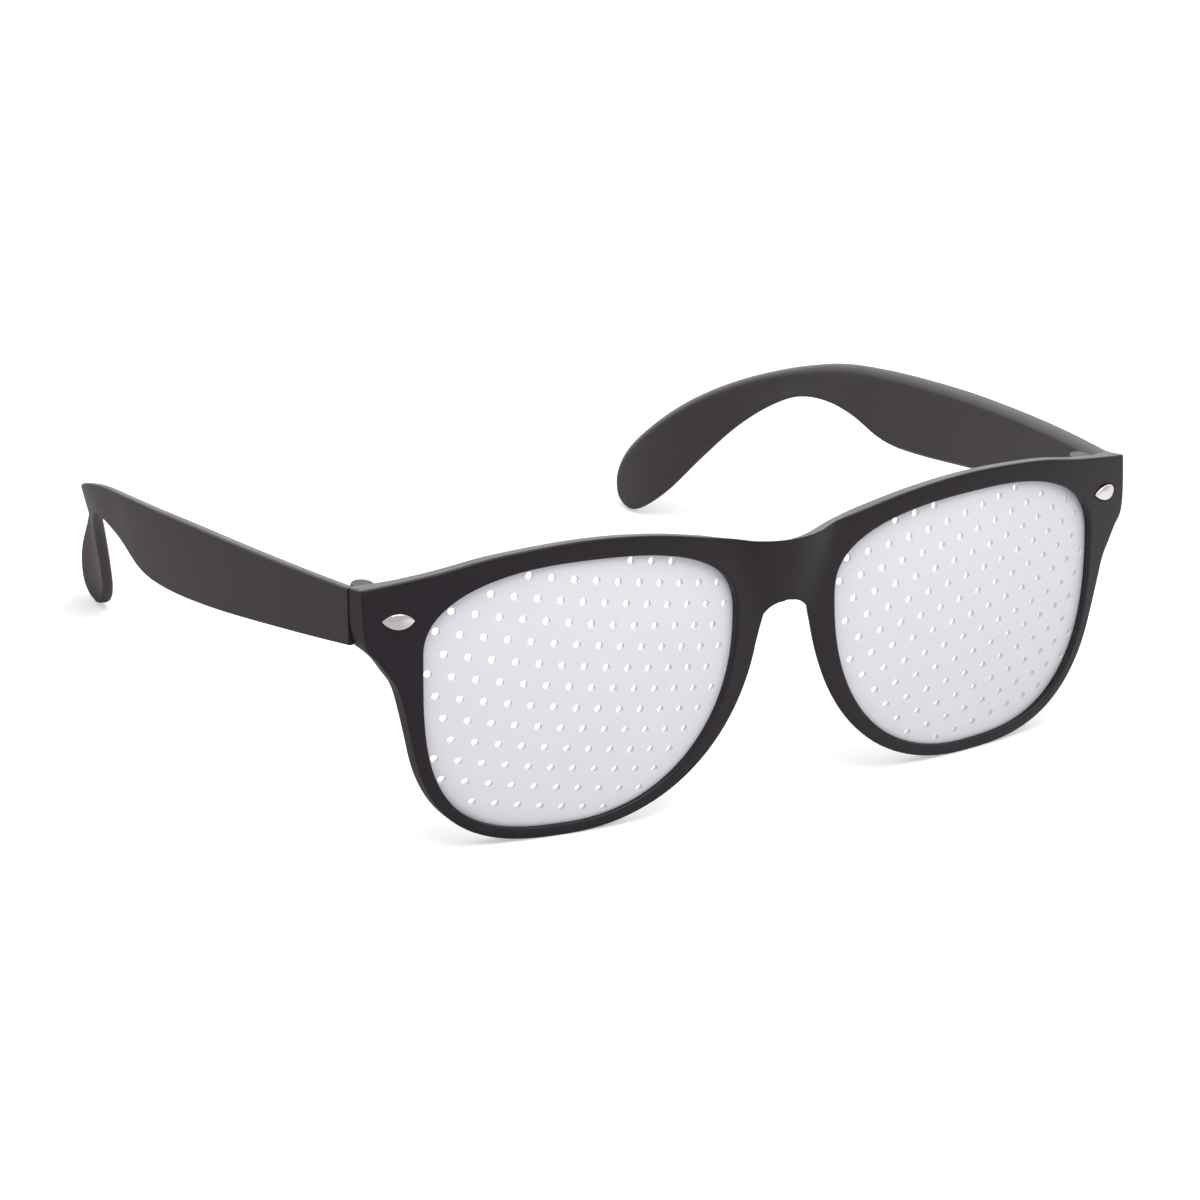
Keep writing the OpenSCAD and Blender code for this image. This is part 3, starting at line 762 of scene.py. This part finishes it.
class GlassesTrimSettings(bpy.types.PropertyGroup):
    """Colours of the lens sheets, plates, pins and arms."""

    # The arms' two tones sit well above the front's: partly the arms' own slightly different
    # plastic, partly painted sheen that stands in for the lighter gloss on the arms
    arm_dark_tone_and_sheen: FloatVectorProperty(
        name="Arm dark tone",
        description="Darker tone of the arms' plastic",
        subtype="COLOR",
        min=0.0,
        max=1.0,
        default=(0.027, 0.021, 0.0245),
    )
    arm_light_tone_and_sheen: FloatVectorProperty(
        name="Arm light tone",
        description="Lighter tone of the arms' plastic",
        subtype="COLOR",
        min=0.0,
        max=1.0,
        default=(0.036, 0.0295, 0.0335),
    )
    sheet_dark: FloatVectorProperty(
        name="Sheet dark tone",
        description="Darker tone of the white lens sheets",
        subtype="COLOR",
        min=0.0,
        max=1.0,
        default=(0.80, 0.79, 0.835),
    )
    sheet_light: FloatVectorProperty(
        name="Sheet light tone",
        description="Lighter tone of the white lens sheets",
        subtype="COLOR",
        min=0.0,
        max=1.0,
        default=(0.835, 0.825, 0.865),
    )
    plate: FloatVectorProperty(
        name="Plate metal",
        description="Colour of the rivet plates",
        subtype="COLOR",
        min=0.0,
        max=1.0,
        default=(0.97, 0.94, 0.90),
    )
    arm_splay: FloatProperty(
        name="Arm splay",
        description="Outward splay of an arm at the hinge",
        default=math.radians(9.7),
        subtype="ANGLE",
    )
    arm_bow: FloatProperty(
        name="Arm bow",
        description="Gentle inward bow over the whole length of an arm",
        default=math.radians(28),
        subtype="ANGLE",
    )
    arm_curl: FloatProperty(
        name="Arm curl",
        description="Inward turn of an arm at the ear bend",
        default=math.radians(24),
        subtype="ANGLE",
    )
    arm_relax: FloatProperty(
        name="Arm relax",
        description="Turn back of the paddle behind the ear bend",
        default=math.radians(27),
        subtype="ANGLE",
    )
    arm_twist: FloatProperty(
        name="Arm twist",
        description="Lean of the paddle, lower edge towards the head",
        default=math.radians(14),
        subtype="ANGLE",
    )
    pin: FloatVectorProperty(
        name="Pin metal",
        description="Colour of the hinge pins",
        subtype="COLOR",
        min=0.0,
        max=1.0,
        default=(0.6, 0.6, 0.61),
    )


class GlassesStageSettings(bpy.types.PropertyGroup):
    """Light and floor of the studio."""

    key_power: FloatProperty(
        name="Key light",
        description="Power of the large soft lamp",
        default=4.2,
        min=0.0,
        unit="POWER",
    )
    fill: FloatProperty(
        name="Surround",
        description="Brightness of the white surround for the object's own light",
        default=0.55,
        min=0.0,
    )


class GLASSES_OT_front(bpy.types.Operator):
    """Moulded front: both rims, the bridge and the end pieces"""

    bl_idname = "glasses.front"
    bl_label = "Front"

    def execute(self, context):
        settings = context.scene.glasses_front
        bm = bmesh.new()
        grow_half_front(bm, settings.rings)
        bmesh.ops.recalc_face_normals(bm, faces=bm.faces)
        extrude_end_block(bm)
        middle = [f for f in bm.faces if all(abs(v.co.x) < 1e-4 for v in f.verts)]
        bmesh.ops.delete(bm, geom=middle, context="FACES")
        bmesh.ops.mirror(
            bm,
            geom=list(bm.verts) + list(bm.edges) + list(bm.faces),
            merge_dist=1e-3,
            axis="X",
        )
        bmesh.ops.remove_doubles(bm, verts=bm.verts, dist=1e-3)
        bmesh.ops.recalc_face_normals(bm, faces=bm.faces)
        soften_edges(bm, settings.edge_radius / MM, math.radians(38))
        bm.transform(STAND)
        black = moulded_plastic(
            "Black moulded plastic",
            settings.dark,
            settings.light,
            rough=(0.36, 0.44),
            grain_size=2600.0,
            bump=0.25,
            specular=0.4,
        )
        piece = new_piece("front", bm, "front", ["front_frame"], black)
        for side in (1, -1):
            cut(piece, recess_cutter(side))
        for side in (1, -1):
            add_barrels(piece, (0, 2), side)
        smooth(piece)
        return {"FINISHED"}


def recess_cutter(side):
    """Solid that cuts the recess of a rivet plate."""
    bm = bmesh.new()
    pointed_oval(bm, PLATE_GAP, -RECESS_D)
    made = bmesh.ops.extrude_face_region(bm, geom=list(bm.faces))["geom"]
    for vert in made:
        if isinstance(vert, bmesh.types.BMVert):
            vert.co.z = 3.0
    bm.transform(plate_matrix())
    return cutter_object(bm, side)


class GLASSES_OT_lenses(bpy.types.Operator):
    """White curved lens sheets with pinholes"""

    bl_idname = "glasses.lenses"
    bl_label = "Lens sheets"

    def execute(self, context):
        trim = context.scene.glasses_trim
        white = moulded_plastic(
            "White lens sheet",
            trim.sheet_dark,
            trim.sheet_light,
            rough=(0.30, 0.38),
            grain_size=900.0,
            bump=0.10,
        )
        for name, side in (("left_lens", 1), ("right_lens", -1)):
            bm = merged_copy(name)
            soften_edges(bm, HOLE_EDGE_R * MM, math.radians(50), 2)
            piece = new_piece(
                name + "_sheet", bm, "front", [name], white
            )
            round_normals(piece, side)
        return {"FINISHED"}


def round_normals(piece, side):
    """Gives the two curved faces of a lens sheet the even normals of their balls."""
    centre = STAND @ Vector((side * LENS_BALL.x, LENS_BALL.y, LENS_BALL.z))
    mesh = piece.data
    mesh.shade_smooth()
    mesh.set_sharp_from_angle(angle=math.radians(30))
    mesh.update()
    normals = [Vector(n.vector) for n in mesh.corner_normals]
    for face in mesh.polygons:
        out = (face.center - centre).normalized()
        facing = face.normal.dot(out)
        if abs(facing) > 0.9:
            for corner in face.loop_indices:
                vert = mesh.vertices[mesh.loops[corner].vertex_index]
                normals[corner] = (vert.co - centre).normalized() * math.copysign(
                    1, facing
                )
    mesh.normals_split_custom_set(normals)


def raise_dome(bm, face):
    """Raises a flat outline to a wall with a softened edge and a ball-shaped top."""
    ball_r = (PLATE_L**2 / 4 + PLATE_DOME**2) / (2 * PLATE_DOME)
    before = 1.0
    for share, below in PLATE_RINGS:
        face = bmesh.ops.extrude_discrete_faces(bm, faces=[face])["faces"][0]
        bmesh.ops.scale(bm, vec=(share / before, share / before, 1), verts=face.verts)
        for vert in face.verts:
            across = vert.co.x**2 + vert.co.y**2
            vert.co.z = PLATE_DOME - ball_r + math.sqrt(ball_r**2 - across) - below
        before = share
    bmesh.ops.poke(bm, faces=[face])


class GLASSES_OT_plates(bpy.types.Operator):
    """Domed metal plates in the recesses of the end pieces"""

    bl_idname = "glasses.plates"
    bl_label = "Rivet plates"

    def execute(self, context):
        metal = bright_metal(
            "Polished plate metal", context.scene.glasses_trim.plate, (0.16, 0.24)
        )
        for name, side in (("left_rivet_plate", 1), ("right_rivet_plate", -1)):
            bm = bmesh.new()
            pointed_oval(bm, 0, -RECESS_D)
            raise_dome(bm, bm.faces[:][0])
            bm.transform(on_side(side) @ plate_matrix())
            bmesh.ops.recalc_face_normals(bm, faces=bm.faces)
            piece = new_piece(
                name + "_dome", bm, "front", [name], metal
            )
            smooth(piece, 40)
        return {"FINISHED"}


class GLASSES_OT_pins(bpy.types.Operator):
    """Steel pins in the hinges"""

    bl_idname = "glasses.pins"
    bl_label = "Hinge pins"

    def execute(self, context):
        steel = bright_metal("Drawn steel", context.scene.glasses_trim.pin, (0.3, 0.4))
        for name in ("left_hinge_pin", "right_hinge_pin"):
            piece = new_piece(
                name + "_wire", merged_copy(name), "front", [name], steel
            )
            smooth(piece, 40)
        return {"FINISHED"}


def arm_turn(along):
    """Turn of the arm towards the head at a length along it."""
    trim = bpy.context.scene.glasses_trim
    share = along / ARM_L
    turn = trim.arm_bow * share - trim.arm_splay
    turn += trim.arm_curl * smooth_step(0.60, 0.86, share)
    return turn - trim.arm_relax * smooth_step(0.86, 1.0, share)


def arm_plan(steps=60):
    """Points of the arm's middle line seen from above, with one beyond its end."""
    lean = math.tan(math.radians(END_LEAN))
    start = END_BACK + SEAM_GAP - (END_MID_Z - ARM_TOP + ARM_FRONT_H) * lean
    plan = [Vector((END_X - ARM_FRONT_T / 2, start))]
    for i in range(steps + 1):
        turn = arm_turn((i + 0.5) * ARM_L / steps)
        plan.append(plan[-1] + ARM_L / steps * Vector((-math.sin(turn), math.cos(turn))))
    return plan


def arm_place(plan, along, up, inward):
    """Point of the arm: how far along it, how high and how far towards the head."""
    at = min(max(along / ARM_L * (len(plan) - 2), 0), len(plan) - 1.01)
    first = int(at)
    mid = plan[first].lerp(plan[first + 1], at - first)
    turn = arm_turn(along)
    return mid.x - inward * math.cos(turn), mid.y - inward * math.sin(turn), up


def arm_section(height, thick, corner_steps=4, side_steps=7):
    """Outline of the arm's section: broad upper corner towards the head, others small."""
    r = min(ARM_EDGE_R, 0.45 * thick, 0.45 * height)
    corners = (
        (1, 1, min(ARM_ROUND_H, 0.45 * height), thick - 0.7 * r),
        (-1, 1, r, r),
        (-1, -1, r / 2, r / 2),
        (1, -1, r / 2, r / 2),
    )
    outline = []
    for quarter, (up, side, tall, deep) in enumerate(corners):
        for k in range(corner_steps + 1):
            angle = math.radians((quarter + k / corner_steps) * 90)
            outline.append(
                Vector(
                    (
                        up * (height / 2 - tall) + tall * math.cos(angle),
                        side * (thick / 2 - deep) + deep * math.sin(angle),
                    )
                )
            )
        if quarter in (0, 2):
            end = corners[quarter + 1]
            far = Vector((end[0] * (height / 2 - end[2]), outline[-1].y))
            near = outline[-1]
            outline += [near.lerp(far, k / side_steps) for k in range(1, side_steps)]
    return outline


def arm_rings():
    """Rings of points round the arm, from the hinge to the end of the paddle."""
    plan = arm_plan()
    share = ARM_L / 100
    twist = math.tan(bpy.context.scene.glasses_trim.arm_twist)
    upper = [Vector((at * share, ARM_TOP - drop * share)) for at, drop in ARM_UP]
    lower = [
        Vector((at * share, ARM_TOP - drop * share - high)) for at, drop, high in ARM_LOW
    ]
    pairs = list(zip(through_points(upper, 6), through_points(lower, 6)))
    rings = []
    for i, (up, low) in enumerate(pairs):
        mid, height = (up + low) / 2, (up - low).length
        rise = (up - low) / height
        done = i / (len(pairs) - 1)
        # the last tenth of the rings thins towards the paddle's end
        end = max(0.0, (done - 0.9) / 0.1)
        part = mid.x / ARM_L
        thick = ARM_FRONT_T + (ARM_TIP_T - ARM_FRONT_T) * smooth_step(0.3, 0.65, part)
        thick *= math.sqrt(1 - 0.9 * end * end)
        slope = twist * smooth_step(0.2, 0.85, part)
        ring = []
        for p in arm_section(height, thick):
            at = mid + p.x * rise
            ring.append(arm_place(plan, at.x, at.y, p.y - p.x * slope))
        rings.append(ring)
    return rings


def grow_arm(bm):
    """Arm body: one section carried from ring to ring and closed at both ends."""
    rings = arm_rings()
    loop = [bm.verts.new(place) for place in rings[0]]
    for i in range(len(loop)):
        bm.edges.new((loop[i], loop[i - 1]))
    first = loop_edges(bm, loop)
    for ring in rings[1:]:
        loop = grow(bm, loop, ring)
    for edges in (first, loop_edges(bm, loop)):
        bmesh.ops.contextual_create(bm, geom=edges)
    bmesh.ops.recalc_face_normals(bm, faces=bm.faces)


def cylinder(bm, radius, low, high, segments=48):
    """Upright cylinder on the hinge axis between two heights."""
    bmesh.ops.create_cone(
        bm,
        cap_ends=True,
        segments=segments,
        radius1=radius,
        radius2=radius,
        depth=high - low,
        matrix=Matrix.Translation((HINGE_X, HINGE_Y, (low + high) / 2)),
    )


def cutter_object(bm, side):
    """Turns a bmesh in the front's own frame into a cutter on one side."""
    bm.transform(on_side(side))
    bmesh.ops.recalc_face_normals(bm, faces=bm.faces)
    mesh = bpy.data.meshes.new("cutter")
    bm.to_mesh(mesh)
    bm.free()
    cutter = bpy.data.objects.new("cutter", mesh)
    bpy.context.scene.collection.objects.link(cutter)
    return cutter


def add_hinge_leaf(piece, side):
    """Adds the arm's own barrel and the web that carries it."""
    z = HINGE_LOW + HINGE_PITCH + BARREL_H / 2
    bm = bmesh.new()
    bm.from_mesh(piece.data)
    leaf = bmesh.new()
    cylinder(leaf, BARREL_R, z - BARREL_H / 2, z + BARREL_H / 2)
    soften_edges(leaf, BARREL_EDGE_R, math.radians(60), 2)
    reach = END_X - HINGE_X - 0.7 * ARM_FRONT_T
    bmesh.ops.create_cube(
        leaf,
        size=1,
        matrix=Matrix.Translation((HINGE_X + reach / 2, HINGE_Y, z))
        @ Matrix.Diagonal((reach, LEAF_W, BARREL_H, 1)),
    )
    leaf.transform(on_side(side))
    bmesh.ops.recalc_face_normals(leaf, faces=leaf.faces)
    append(bm, leaf)
    bm.to_mesh(piece.data)
    bm.free()


def mitre(side):
    """Solid that cuts the arm's end at an angle, to let it turn past the end piece."""
    bm = bmesh.new()
    bmesh.ops.create_cube(
        bm,
        size=1,
        matrix=Matrix.Translation((END_X - MITRE_LIP, END_BACK, END_LOW + 4))
        @ Matrix.Rotation(math.radians(135), 4, "Z")
        @ Matrix.Translation((4, 2, 0))
        @ Matrix.Diagonal((8, 4, 20, 1)),
    )
    return cutter_object(bm, side)


def barrel_room(side):
    """Solids that make room in the arm for the front's two barrels."""
    bm = bmesh.new()
    middle = HINGE_LOW + HINGE_PITCH
    gap = HINGE_PITCH - BARREL_H
    cylinder(bm, BARREL_R + BARREL_ROOM, middle - 12, middle - gap)
    cylinder(bm, BARREL_R + BARREL_ROOM, middle + BARREL_H, middle + 12)
    return cutter_object(bm, side)


class GLASSES_OT_arms(bpy.types.Operator):
    """Moulded side arms with their hinge barrels"""

    bl_idname = "glasses.arms"
    bl_label = "Side arms"

    def execute(self, context):
        trim = context.scene.glasses_trim
        # Lighter copy of the front's black plastic: partly the arms' own tone, partly painted
        # sheen
        black = moulded_plastic(
            "Dark moulded plastic",
            trim.arm_dark_tone_and_sheen,
            trim.arm_light_tone_and_sheen,
            rough=(0.38, 0.48),
            grain_size=2400.0,
            bump=0.25,
        )
        for name, body in (("left_temple", "left_arm"), ("right_temple", "right_arm")):
            side = 1 if name.startswith("left") else -1
            bm = bmesh.new()
            grow_arm(bm)
            bm.transform(on_side(side))
            bmesh.ops.recalc_face_normals(bm, faces=bm.faces)
            piece = new_piece(name + "_arm", bm, body, [name], black)
            cut(piece, mitre(side))
            cut(piece, barrel_room(side))
            add_hinge_leaf(piece, side)
            smooth(piece, 42)
        return {"FINISHED"}


class GLASSES_OT_stage(bpy.types.Operator):
    """Pale floor, white surround, soft light and camera"""

    bl_idname = "glasses.stage"
    bl_label = "Stage"

    def execute(self, context):
        settings = context.scene.glasses_stage
        add_floor()
        add_surround(context.scene, settings.fill)
        add_lamp(settings.key_power)
        add_camera(context.scene)
        context.scene.view_settings.view_transform = "Standard"
        return {"FINISHED"}


def add_floor():
    """Large pale floor that keeps the object's shadow."""
    bm = bmesh.new()
    bmesh.ops.create_grid(bm, x_segments=4, y_segments=4, size=FLOOR_SIZE)
    mesh = bpy.data.meshes.new("floor")
    bm.to_mesh(mesh)
    bm.free()
    floor = bpy.data.objects.new("floor", mesh)
    bpy.context.scene.collection.objects.link(floor)
    material, nodes, links, shader = blank_material("Pale floor")
    shader.inputs["Roughness"].default_value = 0.9
    shader.inputs["Specular IOR Level"].default_value = 0.0
    path = nodes.new("ShaderNodeLightPath")
    seen = nodes.new("ShaderNodeMath")
    seen.operation = "MULTIPLY"
    seen.inputs[1].default_value = FLOOR_LIFT
    links.new(path.outputs["Is Camera Ray"], seen.inputs[0])
    links.new(seen.outputs[0], shader.inputs["Emission Strength"])
    tone = nodes.new("ShaderNodeMix")
    tone.data_type = "RGBA"
    tone.inputs["A"].default_value = FLOOR_TONE
    where = nodes.new("ShaderNodeTexCoord")
    split = nodes.new("ShaderNodeSeparateXYZ")
    links.new(where.outputs["Object"], split.inputs[0])
    across = nodes.new("ShaderNodeMapRange")
    across.inputs["From Min"].default_value = MIRRORED_FROM_X
    across.inputs["From Max"].default_value = MIRRORED_TO_X
    links.new(split.outputs["X"], across.inputs["Value"])
    mirrored = nodes.new("ShaderNodeMix")
    mirrored.data_type = "RGBA"
    mirrored.inputs["A"].default_value = MIRRORED_LEFT
    mirrored.inputs["B"].default_value = MIRRORED_RIGHT
    links.new(across.outputs["Result"], mirrored.inputs["Factor"])
    links.new(mirrored.outputs["Result"], tone.inputs["B"])
    links.new(path.outputs["Is Glossy Ray"], tone.inputs["Factor"])
    links.new(tone.outputs["Result"], shader.inputs["Base Color"])
    shader.inputs["Emission Color"].default_value = (1, 1, 1, 1)
    floor.data.materials.append(material)


def add_surround(scene, fill):
    """White world where it is seen, softer where it lights, brighter behind in gloss."""
    world = bpy.data.worlds.new("Surround")
    scene.world = world
    world.use_nodes = True
    nodes, links = world.node_tree.nodes, world.node_tree.links
    backdrop = nodes["Background"]
    backdrop.inputs["Color"].default_value = (1, 1, 1, 1)
    path = nodes.new("ShaderNodeLightPath")
    seen = nodes.new("ShaderNodeMath")
    seen.operation = "MAXIMUM"
    links.new(path.outputs["Is Camera Ray"], seen.inputs[0])
    links.new(path.outputs["Is Transmission Ray"], seen.inputs[1])
    where = nodes.new("ShaderNodeTexCoord")
    behind = nodes.new("ShaderNodeVectorMath")
    behind.operation = "DOT_PRODUCT"
    behind.inputs[1].default_value = BEHIND
    links.new(where.outputs["Generated"], behind.inputs[0])
    gloss = nodes.new("ShaderNodeMapRange")
    gloss.inputs["From Min"].default_value = 0.1
    gloss.inputs["From Max"].default_value = 0.9
    gloss.inputs["To Min"].default_value = GLOSS_AHEAD
    gloss.inputs["To Max"].default_value = GLOSS_BEHIND
    links.new(behind.outputs["Value"], gloss.inputs["Value"])
    lighting = nodes.new("ShaderNodeMix")
    lighting.inputs["A"].default_value = fill
    links.new(path.outputs["Is Glossy Ray"], lighting.inputs["Factor"])
    links.new(gloss.outputs["Result"], lighting.inputs["B"])
    level = nodes.new("ShaderNodeMix")
    level.inputs["B"].default_value = 1.0
    links.new(seen.outputs[0], level.inputs["Factor"])
    links.new(lighting.outputs["Result"], level.inputs["A"])
    links.new(level.outputs["Result"], backdrop.inputs["Strength"])


def add_lamp(power):
    """A square soft lamp above and in front, turned to the glasses."""
    light = bpy.data.lights.new("key", "AREA")
    light.size = LAMP_SIZE
    light.energy = power
    lamp = bpy.data.objects.new("key", light)
    lamp.location = LAMP_PLACE
    aim = Vector(LAMP_TARGET) - Vector(LAMP_PLACE)
    lamp.rotation_euler = aim.to_track_quat("-Z", "Y").to_euler()
    bpy.context.scene.collection.objects.link(lamp)


def add_camera(scene):
    """Camera at the photographed angle, set from the front's own frame."""
    turn = STAND.to_3x3().normalized()
    right = turn @ CAMERA_RIGHT
    up = turn @ CAMERA_UP
    back = right.cross(up)
    data = bpy.data.cameras.new("camera")
    data.sensor_width = 36.0
    data.lens = CAMERA_LENS
    data.clip_start, data.clip_end = 0.01, 100
    camera = bpy.data.objects.new("camera", data)
    scene.collection.objects.link(camera)
    spin = Matrix((right, up, back)).transposed().to_4x4()
    camera.matrix_world = Matrix.Translation(STAND @ CAMERA_PLACE) @ spin
    scene.camera = camera


class GLASSES_PT_panel(bpy.types.Panel):
    """Sidebar panel that lists the pieces"""

    bl_label = "Party glasses"
    bl_space_type = "VIEW_3D"
    bl_region_type = "UI"
    bl_category = "Glasses"

    def draw(self, context):
        layout = self.layout
        for operator in OPERATORS:
            layout.operator(operator.bl_idname)
        for group in ("glasses_front", "glasses_trim", "glasses_stage"):
            settings = getattr(context.scene, group)
            box = layout.box()
            for name in settings.__annotations__:
                box.prop(settings, name)


OPERATORS = (
    GLASSES_OT_front,
    GLASSES_OT_lenses,
    GLASSES_OT_plates,
    GLASSES_OT_pins,
    GLASSES_OT_arms,
    GLASSES_OT_stage,
)
GROUPS = {
    "glasses_front": GlassesFrontSettings,
    "glasses_trim": GlassesTrimSettings,
    "glasses_stage": GlassesStageSettings,
}


def register():
    """Registers the add-on's classes and puts its settings on the scene."""
    for group in GROUPS.values():
        bpy.utils.register_class(group)
    for name, group in GROUPS.items():
        setattr(bpy.types.Scene, name, PointerProperty(type=group))
    for operator in OPERATORS:
        bpy.utils.register_class(operator)
    bpy.utils.register_class(GLASSES_PT_panel)


def unregister():
    """Takes the classes and settings away again."""
    bpy.utils.unregister_class(GLASSES_PT_panel)
    for operator in reversed(OPERATORS):
        bpy.utils.unregister_class(operator)
    for name, group in GROUPS.items():
        delattr(bpy.types.Scene, name)
        bpy.utils.unregister_class(group)


def main():
    register()
    bpy.ops.glasses.front()
    bpy.ops.glasses.lenses()
    bpy.ops.glasses.plates()
    bpy.ops.glasses.pins()
    bpy.ops.glasses.arms()
    bpy.ops.glasses.stage()


if __name__ == "__main__":
    main()
